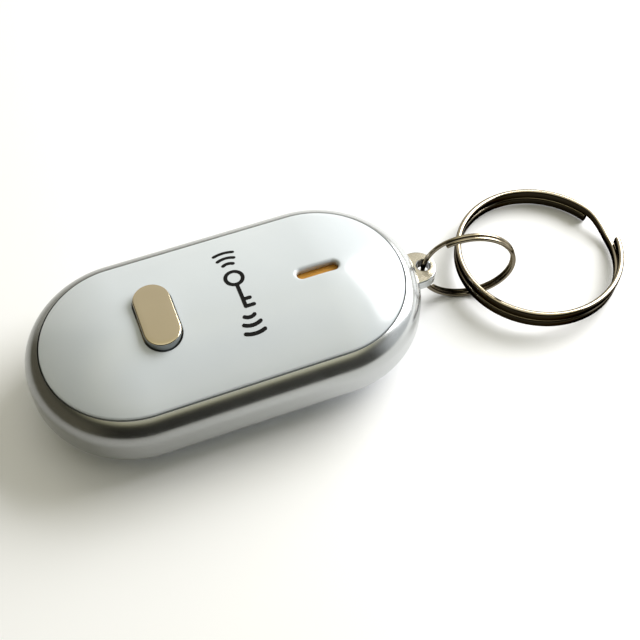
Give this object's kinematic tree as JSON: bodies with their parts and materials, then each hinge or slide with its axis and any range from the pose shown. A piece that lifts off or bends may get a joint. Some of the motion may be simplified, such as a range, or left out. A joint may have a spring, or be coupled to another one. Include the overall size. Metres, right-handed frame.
{
  "type": "bluetooth tracker tag",
  "caption": "Flat stadium-shaped key tag with a domed white cover, silver frame with a lug, push button, sound slot, and two linked split rings.",
  "frame": {"origin": "centre of the flat patch under the rear cover, on which the tag lies", "axes": "+X along the body to the lug and the rings, +Z out of the front cover"},
  "size_m": [0.0897, 0.0294, 0.0161],
  "materials": {
    "cover_white": "gloss",
    "frame_silver": "satin metallic paint",
    "button_champagne": "satin metallic paint",
    "ring_nickel": "dark nickel plate",
    "switch_black": "matte",
    "tinned_steel": "satin",
    "spring_steel": "satin",
    "board_green": "solder mask",
    "chip_black": "matte",
    "ceramic_tan": "matte",
    "copper": "plated",
    "brass": "satin",
    "cell_steel": "brushed",
    "gasket_grey": "matte",
    "electrode_dark": "matte",
    "piezo_ceramic": "matte",
    "silver_film": "satin",
    "tape_white": "matte"
  },
  "bodies": {
    "tag": {"mid_frame": "frame_silver", "front_cover": "cover_white", "rear_cover": "cover_white", "switch_body": "switch_black", "switch_plate": "tinned_steel", "switch_dome": "spring_steel", "switch_legs": "tinned_steel", "circuit_board": "board_green", "board_screws": "spring_steel", "radio_chip": "chip_black", "main_crystal": "tinned_steel", "clock_crystal": "ceramic_tan", "chip_capacitors": "ceramic_tan", "chip_resistors": "chip_black", "boost_inductor": "chip_black", "driver_transistor": "chip_black", "antenna_trace": "copper", "cell_can": "cell_steel", "cell_gasket": "gasket_grey", "cell_cap": "cell_steel", "cell_electrodes": "electrode_dark", "negative_contact": "spring_steel", "positive_contact": "spring_steel", "piezo_brass_disc": "brass", "piezo_ceramic_disc": "piezo_ceramic", "piezo_electrode": "silver_film", "piezo_tape_ring": "tape_white", "brass_contact_spring": "spring_steel", "electrode_contact_spring": "spring_steel"},
    "button": {"push_button": "button_champagne", "switch_plunger": "switch_black"},
    "small_ring": {"small_split_ring": "ring_nickel"},
    "large_ring": {"large_split_ring": "ring_nickel"}
  },
  "joints": [
    {"name": "button_press", "type": "slide", "parent": "tag", "child": "button", "axis": [0, 0, -1], "range_m": [0, 0.0003], "stiffness_N_per_m": 600, "deforming": ["switch_dome"]},
    {"name": "small_ring_swivel", "type": "hinge", "parent": "tag", "child": "small_ring", "pos_m": [0.02972, 0, 0.00735], "axis": [0, 0, 1], "range_deg": [-30, 45]},
    {"name": "large_ring_swing", "type": "hinge", "parent": "small_ring", "child": "large_ring", "pos_m": [0.03674, -0.00176, 0.00287], "axis": [0.1007, -0.9944, 0.0332], "range_deg": [0, 80]}
  ]
}
